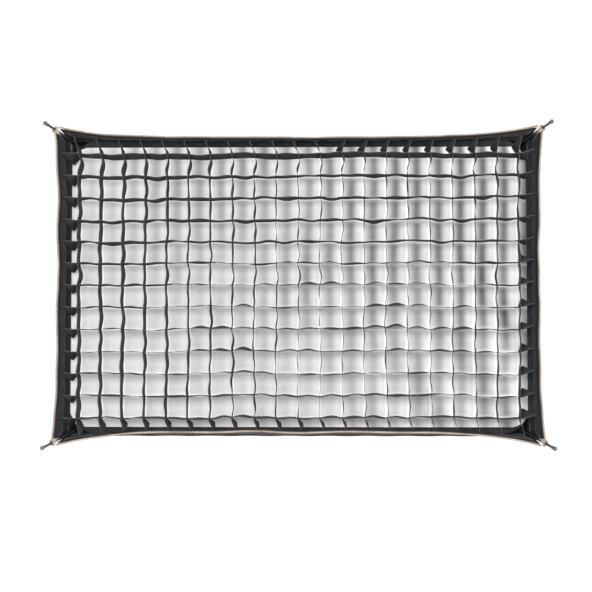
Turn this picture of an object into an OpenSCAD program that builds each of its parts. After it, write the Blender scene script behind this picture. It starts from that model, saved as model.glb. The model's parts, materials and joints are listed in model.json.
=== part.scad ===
// Rectangular rod-frame softbox with a fabric egg-crate grid, on a rotating speed ring.
// +Z is up, +X runs along the long side, and the lit face looks towards -Y.
// The origin is the centre of the lamp bore, at the adapter's rear face.

/* [Front opening] */
// Pitch of the grid cells
cell = 45; // [40:1:50]
// Strips standing upright in the grid
upright_count = 21; // [21:2:21]
// Strips lying across the grid
cross_count = 13; // [13:2:13]
// Depth of the grid strips, front to back
strip_depth = 42; // [30:1:44]
// Thickness of a grid strip
strip_t = 0.8; // [0.6:0.1:1.2]

/* [Shell] */
// Distance from the lamp seat to the front edge of the lip
front_depth = 500; // [500:1:502]
// Depth of the lip in front of the diffuser
lip_depth = 50; // [49:1:50]
// Thickness of the laminated cloth
cloth_t = 1; // [0.8:0.1:1.2]
// Diameter of the corded edging
edging_d = 6.8; // [5:0.2:7]

/* [Rods] */
// Diameter of the sprung rods
rod_d = 4.8; // [4.4:0.1:5]
// How far the rods bow outwards at their middle
rod_bow = 38; // [37:0.5:39]
// Diameter of the ball caps
ball_d = 9; // [8:0.5:10]

/* [Speed ring] */
// Bore that takes the lamp's nose
lamp_bore_d = 92; // [90:1:94]
// Outer diameter of the ring's flange
ring_d = 148; // [146:1:150]
// Running clearance between the adapter and the ring, on the radius
fit_gap = 0.05; // [0.03:0.01:0.08]

/* [Hidden] */
$fn = 96;
arc_fn = 360;

// Adapter and ring, along Y from the lamp seat
lamp_bore_r = lamp_bore_d / 2;
spigot_r = 50;
lug_r = 55;
lug_t = 2.5;
retainer_y = -8;
retainer_t = 2;
ring_y = retainer_y - retainer_t;
flange_l = 10;
flange_r = 62;
ring_lip_t = 6;
neck_y = ring_y - flange_l - ring_lip_t;
neck_l = 26;
neck_r = 66;
neck_bore_r = 56;
ring_r = ring_d / 2;
lock_y = ring_y - flange_l / 2;
screw_r = 3;
screw_hole_r = screw_r + fit_gap;
pad_x = flange_r + 0.1;
pad_l = 3;
screw_x = pad_x + pad_l + 0.05;
knob_x = ring_r + 3;
knob_l = 14;

// Rods, from the socket to the ball
socket = [56, -48, 56];
rod_end = [512, -522, 328];
rod_r = rod_d / 2;
rod_rise = atan2(rod_end.z - socket.z, rod_end.x - socket.x);
rod_out = norm([rod_end.x - socket.x, rod_end.z - socket.z]);
rod_fore = socket.y - rod_end.y;
rod_chord = norm([rod_out, rod_fore]);
rod_R = (rod_chord * rod_chord / 4 + rod_bow * rod_bow) / (2 * rod_bow);
rod_half = asin(rod_chord / 2 / rod_R);
rod_normal = [rod_fore / rod_chord, -rod_out / rod_chord];
rod_centre = [rod_out / 2, rod_fore / 2] - rod_normal * (rod_R - rod_bow);
rod_start_a = atan2(rod_normal.y, rod_normal.x) - rod_half;
ferrule_l = 34;
ferrule_a = ferrule_l / rod_R * 180 / PI;
ferrule_r = 3.6;
socket_depth = 22;

// Cloth shell: outer surface through three points of each profile, as [y, half size]
rear_y = -36;
seam_y = -(front_depth - lip_depth);
front_y = -front_depth;
side_arc = arc_through([rear_y, 80], [-253, 313], [-450, 477]);
crown_arc = arc_through([rear_y, 80], [-253, 213], [-450, 306]);
edge_gap = 0.3;
lip_rear = [475, 304];
lip_front = [493, 316];
lip_sag = [6, 16];
lip_flare = 5;
lip_t = 1.2;
// The cloth stops this far short of each corner, where the rod passes out
corner_open = [10, 16];
diffuser_half = [lip_rear.x - 3, lip_rear.y - 3];
diffuser_cut = 22;
edging_r = edging_d / 2;
edging_y = front_y - edging_r - edge_gap;

// Grid
upright_span = (upright_count - 1) * cell;
cross_span = (cross_count - 1) * cell;
strip_front = front_y + 4;
slot_w = strip_t + 0.6;
tab_depth = 12;
border_t = 1;
tape_t = 0.9;
tape_inset = tape_t + 0.5;
border_inset = tape_inset + border_t + 0.4;
band_front = front_y + 4;
band_rear = front_y + 26;

// Inner baffle
baffle_y = -262;
baffle_half = [250, 158];

function arc_through(a, b, c) =
    let (d = 2 * (a.x * (b.y - c.y) + b.x * (c.y - a.y) + c.x * (a.y - b.y)))
    let (aa = a * a, bb = b * b, cc = c * c)
    let (x = (aa * (b.y - c.y) + bb * (c.y - a.y) + cc * (a.y - b.y)) / d)
    let (y = (aa * (c.x - b.x) + bb * (a.x - c.x) + cc * (b.x - a.x)) / d)
    [x, y, norm(a - [x, y])];

function arc_at(arc, y) = arc[1] + sqrt(arc[2] * arc[2] - (y - arc[0]) * (y - arc[0]));

// Half size of the lip's inner face at y, for u from -1 to 1 along that edge
function lip_at(axis, u, y) =
    let (f = (seam_y - y) / lip_depth)
    let (front = lip_front[axis] - lip_sag[axis] * (1 - pow(abs(u), lip_flare)))
    lip_rear[axis] + (front - lip_rear[axis]) * f;

// Reach of a grid strip, clear of the border band at both ends of its tab
function grid_reach(axis, u) =
    min(lip_at(axis, u, strip_front), lip_at(axis, u, strip_front + tab_depth)) - border_inset - 0.6;

// Turns local X, Y, Z into global Y, Z, X
module lengthwise() { rotate([90, 0, 90]) children(); }

// Turns local X, Y, Z into global Y, X, -Z
module upright() { rotate([180, 0, 90]) children(); }

// Turns local Z into global -Y, with X kept and local Y pointing down
module facing_front() { rotate([90, 0, 0]) children(); }

// A ring about the Y axis, from y0 forward by len
module ring_y(y0, len, r_out, r_in) {
    translate([0, y0, 0]) facing_front() difference() {
        cylinder(h = len, r = r_out);
        translate([0, 0, -1]) cylinder(h = len + 2, r = r_in);
    }
}

// The four corners, as mirror images
module each_corner() {
    for (mx = [0, 1], mz = [0, 1]) mirror([mx, 0, 0]) mirror([0, 0, mz]) children();
}

// Local plane of a rod: X outwards along its diagonal, Y forwards, Z across
module rod_plane() {
    translate(socket)
        multmatrix([
            [cos(rod_rise), 0, sin(rod_rise), 0],
            [0, -1, 0, 0],
            [sin(rod_rise), 0, -cos(rod_rise), 0],
            [0, 0, 0, 1]
        ])
            children();
}

// A stretch of the rod's arc, from angle a0 over an angle da
module rod_arc(r, a0 = 0, da = 2 * rod_half) {
    translate([rod_centre.x, rod_centre.y, 0])
        rotate([0, 0, rod_start_a + a0])
            rotate_extrude(angle = da, $fn = arc_fn) translate([rod_R, 0]) circle(r = r, $fn = 32);
}

// Frame at an angle along the rod, with local Z along the rod
module on_rod(a) {
    translate([rod_centre.x, rod_centre.y, 0])
        rotate([0, 0, rod_start_a + a])
            translate([rod_R, 0, 0])
                rotate([-90, 0, 0])
                    children();
}

module rod() { color("dimgray") rod_plane() rod_arc(rod_r); }

module adapter_insert() {
    color("silver") {
        difference() {
            union() {
                ring_y(0, -ring_y + flange_l - 0.1, spigot_r, lamp_bore_r);
                ring_y(ring_y - 0.1, flange_l - 0.2, flange_r, lamp_bore_r);
                for (a = [90, 210, 330])
                    rotate([0, a, 0]) intersection() {
                        ring_y(0, lug_t, lug_r, lamp_bore_r);
                        translate([0, -5, -9]) cube([lug_r + 5, 10, 18]);
                    }
            }
            translate([0, 1, 0]) facing_front() cylinder(h = 40, r = lamp_bore_r);
        }
    }
}

module speed_ring() {
    color("gainsboro") difference() {
        union() {
            ring_y(ring_y, flange_l + ring_lip_t, ring_r, 52);
            ring_y(neck_y + 0.5, neck_l + 0.5, neck_r, neck_bore_r);
            each_corner() {
                translate([43, neck_y - neck_l, 43]) rotate([0, -45, 0]) translate([-4, 0, -8])
                    cube([22, 12, 16]);
                rod_plane() on_rod(0) translate([0, 0, -4]) cylinder(h = socket_depth + 4, r = 9);
            }
        }
        translate([0, ring_y + 1, 0]) facing_front()
            cylinder(h = flange_l + 1, r = flange_r + fit_gap);
        each_corner() rod_plane() on_rod(0)
            cylinder(h = socket_depth + 10, r = ferrule_r + fit_gap);
        translate([flange_r - 3, lock_y, 0]) rotate([0, 90, 0]) cylinder(h = 20, r = screw_hole_r);
        for (a = [30 : 60 : 330]) rotate([0, a, 0]) translate([68, ring_y + 1, 0]) facing_front()
            cylinder(h = 9, r = 1.6);
        translate([0, neck_y - neck_l + 40, 0]) facing_front() cylinder(h = 60, r = 52);
    }
}

module retainer_ring() {
    color("dimgray") difference() {
        ring_y(retainer_y, retainer_t, 71.5, 56);
        for (a = [30 : 60 : 330]) rotate([0, a, 0]) translate([68, 0, 0]) facing_front()
            cylinder(h = 20, r = 1.8);
    }
}

module retainer_screws() {
    color("silver") for (a = [30 : 60 : 330]) rotate([0, a, 0]) translate([68, 0, 0]) difference() {
        union() {
            translate([0, retainer_y, 0]) facing_front() cylinder(h = 9.5, r = 1.55);
            translate([0, retainer_y + 1.8, 0]) facing_front() cylinder(h = 1.8, r = 2.9);
        }
        translate([0, retainer_y + 2.8, 0]) facing_front() cylinder(h = 2, r = 1.25, $fn = 6);
    }
}

module lock_pad() {
    color("ivory") translate([pad_x, lock_y, 0]) rotate([0, 90, 0]) cylinder(h = pad_l, r = 2.9);
}

module lock_screw() {
    color("silver") translate([screw_x, lock_y, 0]) rotate([0, 90, 0])
        cylinder(h = knob_x + 8 - screw_x, r = screw_r);
}

module lock_knob() {
    color("#1c1c1c") translate([knob_x, lock_y, 0]) rotate([0, 90, 0]) difference() {
        union() {
            cylinder(h = 3, r = 6.5);
            translate([0, 0, 3]) cylinder(h = knob_l - 3, r = 9.5);
        }
        for (a = [0 : 45 : 315]) rotate([0, 0, a]) translate([11, 0, 2.9])
            cylinder(h = knob_l, r = 2.4, $fn = 32);
        translate([0, 0, -1]) cylinder(h = 9, r = screw_r);
    }
}

module rod_top_right() { rod(); }
module rod_top_left() { mirror([1, 0, 0]) rod(); }
module rod_bottom_right() { mirror([0, 0, 1]) rod(); }
module rod_bottom_left() { mirror([1, 0, 0]) mirror([0, 0, 1]) rod(); }

module rod_ferrules() {
    color("silver") each_corner() rod_plane() difference() {
        on_rod(0) translate([0, 0, 0.2]) cylinder(h = ferrule_l, r = ferrule_r);
        rod_arc(rod_r, -0.2, ferrule_a + 1);
    }
}

module rod_tips() {
    color("#2a2a2a") each_corner() rod_plane() difference() {
        on_rod(2 * rod_half) {
            translate([0, 0, 1]) sphere(r = ball_d / 2);
            translate([0, 0, -9]) cylinder(h = 8, r = 3.2);
        }
        rod_arc(rod_r, rod_half, rod_half);
    }
}

module rod_sleeves() {
    color("#161616") each_corner() rod_plane() difference() {
        rod_arc(rod_r + 1.6, 2 * rod_half * 0.78, 2 * rod_half * 0.06);
        rod_arc(rod_r + 0.3, 2 * rod_half * 0.77, 2 * rod_half * 0.08);
    }
}

// Plane region between an arc and its mirror image, inset from the outer surface
module arc_outline(arc, inset) {
    intersection() {
        translate([arc[0], arc[1]]) circle(r = arc[2] - inset, $fn = arc_fn);
        translate([arc[0], -arc[1]]) circle(r = arc[2] - inset, $fn = arc_fn);
        translate([seam_y, -600]) square([rear_y - seam_y, 1200]);
    }
}

// Skin of one cloth thickness under an arc
module arc_skin(arc) {
    intersection() {
        difference() {
            translate([arc[0], arc[1]]) circle(r = arc[2], $fn = arc_fn);
            translate([arc[0], arc[1]]) circle(r = arc[2] - cloth_t, $fn = arc_fn);
        }
        translate([seam_y, 40]) square([rear_y - seam_y, 560]);
    }
}

module panel_top() {
    color("#1a1a1c") intersection() {
        lengthwise() linear_extrude(height = 1000, center = true) arc_skin(crown_arc);
        upright() linear_extrude(height = 800, center = true)
            arc_outline(side_arc, cloth_t + edge_gap);
    }
}

module panel_bottom() { mirror([0, 0, 1]) panel_top(); }

module panel_right() {
    color("#1a1a1c") intersection() {
        upright() linear_extrude(height = 800, center = true) arc_skin(side_arc);
        lengthwise() linear_extrude(height = 1000, center = true) arc_outline(crown_arc, 0);
    }
}

module panel_left() { mirror([1, 0, 0]) panel_right(); }

// Bound seams outside the four corners of the shell, each an arc in its own diagonal plane
module corner_seams() {
    rise = atan2(306 - 80, 477 - 80);
    out = norm([477 - 80, 306 - 80]);
    bend = arc_through([0, 0], [norm([313 - 80, 213 - 80]), 217], [out, 414]);
    a_rear = atan2(-bend[1], -bend[0]);
    a_front = atan2(414 - bend[1], out - bend[0]);
    color("#101010") each_corner()
        translate([80, rear_y, 80])
            multmatrix([
                [cos(rise), 0, sin(rise), 0],
                [0, -1, 0, 0],
                [sin(rise), 0, -cos(rise), 0],
                [0, 0, 0, 1]
            ])
                translate([bend[0], bend[1], 0])
                    rotate([0, 0, a_rear])
                        rotate_extrude(angle = a_front - a_rear, $fn = arc_fn)
                            translate([bend[2] + 4.5, 0]) circle(r = 1.6, $fn = 24);
}

module rear_panel() {
    color("#1a1a1c") translate([0, rear_y + 1.5, 0]) facing_front() difference() {
        translate([0, 0, 0.6]) cube([158, 158, 1.2], center = true);
        translate([0, 0, -1]) cylinder(h = 4, r = neck_r + 1);
    }
}

module collar_elastic() {
    color("#101010") translate([0, neck_y - 3, 0]) facing_front()
        rotate_extrude() translate([neck_r + 2.4, 0]) circle(r = 1.6, $fn = 24);
}

// A strip of cloth that follows the lip, inset from its inner face, with its ends cut short.
// axis 0 gives the right-hand strip and axis 1 the top one.
module lip_strip(axis, inset, y_rear, y_front, t, n = 28, k = 3) {
    us = [for (i = [0 : n]) sin(90 * (2 * i / n - 1))];
    ys = [for (j = [0 : k]) y_rear + (y_front - y_rear) * j / k];
    rows = [
        for (side = [0, 1], u = us, y = ys)
            let (along = u * (lip_at(1 - axis, 1, y) - corner_open[axis]))
            let (off = lip_at(axis, u, y) - inset + side * t)
            axis == 1 ? [along, y, off] : [off, y, along]
    ];
    w = k + 1;
    m = w * (n + 1);
    faces = [
        for (i = [0 : n - 1], j = [0 : k - 1])
            let (a = w * i + j)
            each [[a, a + 1, a + w + 1, a + w], [m + a, m + a + w, m + a + w + 1, m + a + 1]]
    ];
    rims = [
        for (i = [0 : n - 1])
            let (a = w * i, b = w * i + k)
            each [[a, a + w, m + a + w, m + a], [b, m + b, m + b + w, b + w]]
    ];
    ends = [
        for (j = [0 : k - 1])
            let (b = w * n + j)
            each [[j, m + j, m + j + 1, j + 1], [b, b + 1, m + b + 1, m + b]]
    ];
    quads = concat(faces, rims, ends);
    tris = [for (q = quads) each [[q[0], q[1], q[2]], [q[0], q[2], q[3]]]];
    turned = axis == 1 ? tris : [for (f = tris) [f[2], f[1], f[0]]];
    polyhedron(points = rows, faces = turned);
}

module lip_top() {
    color("#1d1d1f") lip_strip(1, 0, seam_y - edge_gap, front_y, lip_t);
}

module lip_bottom() { mirror([0, 0, 1]) lip_top(); }

module lip_right() {
    color("#1d1d1f") lip_strip(0, 0, seam_y - edge_gap, front_y, lip_t);
}

module lip_left() { mirror([1, 0, 0]) lip_right(); }

// Corded edging along one front edge: axis 0 is the right-hand edge and axis 1 the top one.
// A round tube in rings across the lip's front edge, short of the corners by end_gap.
module edging(axis, end_gap = 12, n = 28, sides = 12) {
    half = lip_at(1 - axis, 1, front_y) - end_gap;
    function mid(u) = lip_at(axis, u, front_y) + lip_t / 2;
    rings = [
        for (i = [0 : n])
            let (u = 2 * i / n - 1)
            let (slope = (mid(u + 0.001) - mid(u - 0.001)) / (0.002 * half))
            let (out = [-slope, 1] / norm([slope, 1]))
            for (j = [0 : sides - 1])
                let (c = edging_r * cos(j * 360 / sides), d = edging_r * sin(j * 360 / sides))
                let (along = u * half + c * out[0], off = mid(u) + c * out[1])
                axis == 1 ? [along, edging_y + d, off] : [off, edging_y + d, along]
    ];
    quads = [
        for (i = [0 : n - 1], j = [0 : sides - 1])
            let (a = i * sides + j, b = i * sides + (j + 1) % sides)
            each [[a, b, b + sides], [a, b + sides, a + sides]]
    ];
    ends = [[for (j = [sides - 1 : -1 : 0]) j], [for (j = [0 : sides - 1]) n * sides + j]];
    faces = concat(quads, ends);
    turned = axis == 1 ? [for (f = faces) [for (k = [len(f) - 1 : -1 : 0]) f[k]]] : faces;
    color("tan") polyhedron(points = rings, faces = turned);
}

module edging_top() { edging(1); }
module edging_bottom() { mirror([0, 0, 1]) edging(1); }
module edging_right() { edging(0); }
module edging_left() { mirror([1, 0, 0]) edging(0); }

module corner_loops() {
    color("wheat") each_corner() rod_plane() on_rod(2 * rod_half * 0.975)
        rotate_extrude() translate([4.6, 0]) circle(r = 1.8, $fn = 24);
}

// Hook tape sewn round the inside of the lip
module lip_tape() {
    color("#0d0d0d") for (m = [0, 1]) {
        mirror([0, 0, m]) lip_strip(1, tape_inset, band_rear, band_front, tape_t);
        mirror([m, 0, 0]) lip_strip(0, tape_inset, band_rear, band_front, tape_t);
    }
}

// Column with its corners cut off, clear of the four rods
module inside_rods() {
    reach = diffuser_half.x + diffuser_half.y - diffuser_cut;
    rotate([90, 0, 0]) linear_extrude(20 - seam_y)
        polygon([[reach, 0], [0, reach], [-reach, 0], [0, -reach]]);
}

module front_diffuser() {
    color("white") intersection() {
        translate([0, seam_y + 4, 0])
            cube([2 * diffuser_half.x, 1, 2 * diffuser_half.y], center = true);
        inside_rods();
    }
}

module diffuser_hem() {
    half = [lip_rear.x - 5, lip_rear.y - 5];
    color("whitesmoke") intersection() {
        union() {
            for (m = [-1, 1]) {
                translate([0, seam_y + 6, m * (half.y - 12)])
                    cube([2 * half.x, 1.2, 20], center = true);
                translate([m * (half.x - 12), seam_y + 6, 0])
                    cube([20, 1.2, 2 * half.y - 46], center = true);
            }
        }
        inside_rods();
    }
}

module inner_baffle() {
    color("white") translate([0, baffle_y, 0])
        cube([2 * baffle_half.x, 0.8, 2 * baffle_half.y], center = true);
}

// Elastic straps from the baffle's rim to the shell
module baffle_straps() {
    reach = [arc_at(side_arc, baffle_y + 2) - 3, arc_at(crown_arc, baffle_y + 2) - 3];
    inner = baffle_half - [8, 8];
    color("#e8e8e8") translate([0, baffle_y + 1.4, 0]) for (m = [-1, 1]) {
        for (z = [-110, 0, 110]) translate([m * (inner.x + reach.x) / 2, 0, z])
            cube([reach.x - inner.x, 1, 16], center = true);
        for (x = [-160, 0, 160]) translate([x, 0, m * (inner.y + reach.y) / 2])
            cube([16, 1, reach.y - inner.y], center = true);
    }
}

module baffle_snaps() {
    color("silver") for (m = [-1, 1]) {
        for (z = [-110, 0, 110]) translate([m * (baffle_half.x - 5), baffle_y + 2.1, z])
            rotate([-90, 0, 0]) cylinder(h = 2, r = 5);
        for (x = [-160, 0, 160]) translate([x, baffle_y + 2.1, m * (baffle_half.y - 5)])
            rotate([-90, 0, 0]) cylinder(h = 2, r = 5);
    }
}

// Comb outline of one strip: u along the strip, v from its front (0) to its rear (strip_depth).
// Slots open at the front (open_front) or at the rear; the ends taper to tabs at the front.
function strip_outline(end, span, open_front) =
    let (marks = [for (i = [0 : round(span / cell)]) i * cell - span / 2])
    let (full = span / 2 + 6, half = strip_depth / 2)
    let (slots_up = open_front ? [
        for (u = marks) each [[u - slot_w / 2, 0], [u - slot_w / 2, half + 0.3],
            [u + slot_w / 2, half + 0.3], [u + slot_w / 2, 0]]] : [])
    let (slots_down = open_front ? [] : [
        for (i = [len(marks) - 1 : -1 : 0]) let (u = marks[i])
            each [[u + slot_w / 2, strip_depth], [u + slot_w / 2, half - 0.3],
                [u - slot_w / 2, half - 0.3], [u - slot_w / 2, strip_depth]]])
    concat([[-end, 0]], slots_up, [[end, 0], [end, tab_depth], [full, strip_depth]],
        slots_down, [[-full, strip_depth], [-end, tab_depth]]);

module grid_uprights() {
    color("#202020") for (i = [0 : upright_count - 1]) {
        x = i * cell - upright_span / 2;
        u = x / lip_front.x;
        end = grid_reach(1, u);
        translate([x, strip_front, 0]) lengthwise() linear_extrude(height = strip_t, center = true)
            polygon([for (p = strip_outline(end, cross_span, true)) [p.y, p.x]]);
    }
}

module grid_crosses() {
    color("#202020") for (i = [0 : cross_count - 1]) {
        z = i * cell - cross_span / 2;
        u = z / lip_front.y;
        end = grid_reach(0, u);
        translate([0, strip_front, z]) upright() linear_extrude(height = strip_t, center = true)
            polygon([for (p = strip_outline(end, upright_span, false)) [p.y, p.x]]);
    }
}

// Loop-faced band that holds the grid's ends against the hook tape
module grid_border() {
    color("#161616") for (m = [0, 1]) {
        mirror([0, 0, m]) lip_strip(1, border_inset, band_rear, band_front, border_t);
        mirror([m, 0, 0]) lip_strip(0, border_inset, band_rear, band_front, border_t);
    }
}

adapter_insert();
speed_ring();
retainer_ring();
retainer_screws();
lock_pad();
lock_screw();
lock_knob();
rod_top_left();
rod_top_right();
rod_bottom_left();
rod_bottom_right();
rod_ferrules();
rod_tips();
rod_sleeves();
panel_top();
panel_bottom();
panel_left();
panel_right();
corner_seams();
rear_panel();
collar_elastic();
lip_top();
lip_bottom();
lip_left();
lip_right();
edging_top();
edging_bottom();
edging_left();
edging_right();
corner_loops();
lip_tape();
front_diffuser();
diffuser_hem();
inner_baffle();
baffle_straps();
baffle_snaps();
grid_uprights();
grid_crosses();
grid_border();
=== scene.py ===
import json
import math
import random
from math import cos, pi, sin

import bpy
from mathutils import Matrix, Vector, noise

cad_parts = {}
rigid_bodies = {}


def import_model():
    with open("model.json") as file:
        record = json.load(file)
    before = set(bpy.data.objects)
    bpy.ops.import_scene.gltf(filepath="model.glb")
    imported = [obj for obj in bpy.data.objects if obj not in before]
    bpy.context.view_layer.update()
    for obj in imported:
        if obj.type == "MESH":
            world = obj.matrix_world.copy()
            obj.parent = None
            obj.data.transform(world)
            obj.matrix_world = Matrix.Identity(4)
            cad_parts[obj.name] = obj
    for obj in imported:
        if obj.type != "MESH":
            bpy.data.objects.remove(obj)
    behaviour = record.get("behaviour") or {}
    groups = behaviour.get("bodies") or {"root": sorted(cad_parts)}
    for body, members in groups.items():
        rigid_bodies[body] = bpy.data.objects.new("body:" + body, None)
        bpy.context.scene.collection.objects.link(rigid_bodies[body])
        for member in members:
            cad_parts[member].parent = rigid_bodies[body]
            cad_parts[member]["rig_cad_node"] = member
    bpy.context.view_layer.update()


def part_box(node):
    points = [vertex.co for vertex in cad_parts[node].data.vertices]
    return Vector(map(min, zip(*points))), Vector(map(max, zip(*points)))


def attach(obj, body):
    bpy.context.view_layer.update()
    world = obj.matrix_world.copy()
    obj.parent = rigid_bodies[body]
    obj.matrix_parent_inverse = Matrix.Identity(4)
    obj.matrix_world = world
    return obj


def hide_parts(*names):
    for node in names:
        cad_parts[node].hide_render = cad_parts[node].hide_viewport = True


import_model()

BODY = "softbox"
random.seed(31)

# ---------------------------------------------------------------- sizes, in metres
# Grid: pitch, counts, and the strips' depth, thickness and depth at their ends
CELL = 0.045
UPRIGHTS = 21
CROSSES = 13
STRIP_DEPTH = 0.042
STRIP_T = 0.0009
TAB_DEPTH = 0.012
# Planes across the box, from the ring forwards
REAR_Y = -0.036
SEAM_Y = -0.450
FRONT_Y = -0.500
STRIP_FRONT = FRONT_Y + 0.004
# Shell: y with half width, and y with half height, at the rear, the middle and the seam
SIDE_POINTS = ((-0.036, 0.080), (-0.253, 0.313), (-0.450, 0.477))
CROWN_POINTS = ((-0.036, 0.080), (-0.253, 0.213), (-0.450, 0.306))
CLOTH = 0.0007
SHELL_INSET = 0.0006
# Ahead of this y the silver lining is painted black, as painted shade
LINING_SHADE_EDGE = SEAM_Y + 0.045
# Lip: half sizes at its rear and front edges, and how far the front edges sag inwards
LIP_REAR = (0.475, 0.304)
LIP_FRONT = (0.4955, 0.3215)
LIP_SAG = (0.0092, 0.0215)
LIP_FLARE = 5
BOTTOM_LIFT = 0.0055
BAND_INSET = 0.0033
BAND_DEPTH = 0.022
# Stitch rows: how much of a side they cover, and the step that gives a stitch its direction
STITCH_REACH = 0.985
STITCH_STEP = 0.003
# Rods, as in the CAD
ROD_TIP = Vector((0.512, -0.522, 0.328))
ROD_SOCKET = Vector((0.056, -0.048, 0.056))
ROD_BOW = 0.038
# Cloth kept clear of the rods where they pass out at the corners
CORNER_OPEN = (0.0100, 0.0150)
CORNER_FULL = LIP_REAR[0] + LIP_REAR[1] - 0.004
CORNER_REACH = CORNER_FULL - 0.030
CORNER_SOFT = 0.012
# Doubled cloth at the corners: pockets in two wings, and gussets behind them
POCKET_WING = 0.034
POCKET_DEPTH = 0.030
POCKET_TAPER = 0.55
POCKET_GAP = 0.27
GUSSET_WING = 0.018
GUSSET_DEPTH = 0.021
# Cord loop behind the rod's tip, and its knot
LOOP_BACK = 0.029
LOOP_R = 0.0052
KNOT_OFF = 0.0082
# Straps of the inner baffle, and the rear cloth round the ring's neck
STRAP_HALF = 0.008
NECK_R = 0.0668
GATHERS = 46
# Camera and floor
VIEW_ANGLE = 24.4
VIEW_DISTANCE = 2.8
FLOOR_HALF = 9
FLOOR_Z = -1.15


def rod_way():
    """Direction of the bowed rod at its tip: the chord, turned by the arc's end angle."""
    chord = ROD_TIP - ROD_SOCKET
    way = chord.normalized()
    flat = Vector((chord.x, 0, chord.z)).normalized()
    bowed = (flat - way * flat.dot(way)).normalized()
    turn = 2 * math.atan(2 * ROD_BOW / chord.length)
    return way * cos(turn) - bowed * sin(turn)


def arc_through(a, b, c):
    """Circle through three points, as its centre and radius."""
    d = 2 * (a[0] * (b[1] - c[1]) + b[0] * (c[1] - a[1]) + c[0] * (a[1] - b[1]))
    aa, bb, cc = (p[0] ** 2 + p[1] ** 2 for p in (a, b, c))
    x = (aa * (b[1] - c[1]) + bb * (c[1] - a[1]) + cc * (a[1] - b[1])) / d
    y = (aa * (c[0] - b[0]) + bb * (a[0] - c[0]) + cc * (b[0] - a[0])) / d
    return x, y, math.hypot(a[0] - x, a[1] - y)


SIDE_ARC = arc_through(*SIDE_POINTS)
CROWN_ARC = arc_through(*CROWN_POINTS)


def arc_at(arc, y):
    return arc[1] + math.sqrt(arc[2] ** 2 - (y - arc[0]) ** 2)


def lip_at(axis, u, y):
    """Half size of the lip's inner face at y, for u from -1 to 1 along that edge."""
    f = (SEAM_Y - y) / (SEAM_Y - FRONT_Y)
    front = LIP_FRONT[axis] - LIP_SAG[axis] * (1 - abs(u) ** LIP_FLARE)
    return LIP_REAR[axis] + (front - LIP_REAR[axis]) * f


def smooth(t):
    t = min(max(t, 0.0), 1.0)
    return t * t * (3 - 2 * t)


def ripple(x, y, z, scale, seed):
    """Soft repeatable noise from -1 to 1."""
    return noise.noise(Vector((x * scale + seed * 7.3, y * scale - seed * 3.1, z * scale + seed)))


# ---------------------------------------------------------------- materials
def fill(mat, node, inputs):
    """Set a node's inputs: a socket is linked, anything else is a value."""
    for name, value in inputs.items():
        if isinstance(value, bpy.types.NodeSocket):
            mat.node_tree.links.new(value, node.inputs[name])
        else:
            node.inputs[name].default_value = value
    return node


def new_node(mat, kind, inputs):
    return fill(mat, mat.node_tree.nodes.new(kind), inputs)


def make_material(name, color, roughness, metallic=0.0, specular=0.5, sheen=0.0, coat=0.0):
    mat = bpy.data.materials.new(name)
    mat.use_nodes = True
    shader = fill(mat, mat.node_tree.nodes["Principled BSDF"], {
        "Base Color": (*color, 1), "Roughness": roughness, "Metallic": metallic, "Coat Weight": coat,
        "Specular IOR Level": specular, "Sheen Weight": sheen, "Sheen Roughness": 0.45})
    return mat, shader


def coords(mat, kind, scale):
    source = new_node(mat, "ShaderNodeTexCoord", {}).outputs[kind]
    scale = scale if isinstance(scale, tuple) else (scale,) * 3
    return new_node(mat, "ShaderNodeMapping", {"Scale": scale, "Vector": source}).outputs["Vector"]


def math_node(mat, kind, a, b=None):
    node = new_node(mat, "ShaderNodeMath", {0: a} if b is None else {0: a, 1: b})
    node.operation = kind
    return node.outputs[0]


def times(mat, a, b):
    return math_node(mat, "MULTIPLY", a, b)


def plus(mat, a, b):
    return math_node(mat, "ADD", a, b)


def minus(mat, a, b):
    return math_node(mat, "SUBTRACT", a, b)


def clamped(mat, value, low, high):
    return math_node(mat, "MINIMUM", math_node(mat, "MAXIMUM", value, low), high)


def noise_node(mat, vector, scale, detail, rough=0.55):
    inputs = {"Scale": scale, "Detail": detail, "Roughness": rough, "Vector": vector}
    return new_node(mat, "ShaderNodeTexNoise", inputs).outputs["Fac"]


def wave_node(mat, vector, scale, direction, distortion):
    inputs = {"Scale": scale, "Distortion": distortion, "Detail Scale": 1.5, "Vector": vector}
    node = new_node(mat, "ShaderNodeTexWave", inputs)
    node.bands_direction = direction
    return node.outputs["Fac"]


def ramp(mat, fac, stops):
    node = new_node(mat, "ShaderNodeValToRGB", {"Fac": fac})
    elements = node.color_ramp.elements
    while len(elements) < len(stops):
        elements.new(0.5)
    for element, (place, color) in zip(elements, stops):
        element.position = place
        element.color = (*color, 1)
    return node.outputs["Color"]


def tone(mat, shader, fac, dark, light, low=0.3, high=0.7):
    """Base colour that runs from dark to light with fac."""
    fill(mat, shader, {"Base Color": ramp(mat, fac, [(low, dark), (high, light)])})


def rough_range(mat, shader, fac, low, high):
    node = new_node(mat, "ShaderNodeMapRange", {"To Min": low, "To Max": high, "Value": fac})
    fill(mat, shader, {"Roughness": node.outputs["Result"]})


def bump(mat, shader, height, distance, strength, after=None):
    inputs = {"Distance": distance, "Strength": strength, "Height": height}
    if after is not None:
        inputs["Normal"] = after
    normal = new_node(mat, "ShaderNodeBump", inputs).outputs["Normal"]
    fill(mat, shader, {"Normal": normal})
    return normal


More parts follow.
